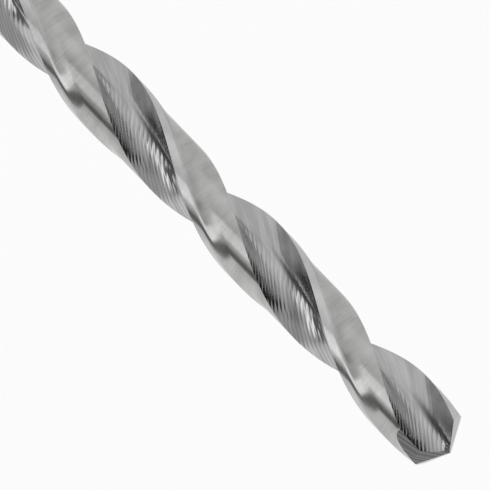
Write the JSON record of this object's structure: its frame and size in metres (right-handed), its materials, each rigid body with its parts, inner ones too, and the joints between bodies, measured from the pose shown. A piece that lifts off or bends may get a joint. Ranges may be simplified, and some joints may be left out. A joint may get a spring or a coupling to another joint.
{
  "type": "twist drill",
  "caption": "Right-hand twist drill for metal with a straight round shank, helical flutes with narrow margins, and a faceted ground point.",
  "frame": {"origin": "centre of the flat end of the shank", "axes": "+Z along the drill's axis from the shank to the point; +X through the outer corner of one lip, level with the lips"},
  "size_m": [0.006, 0.006, 0.093],
  "materials": {
    "ground_steel": "bright ground"
  },
  "bodies": {
    "root": {"twist_drill": "ground_steel"}
  },
  "joints": []
}
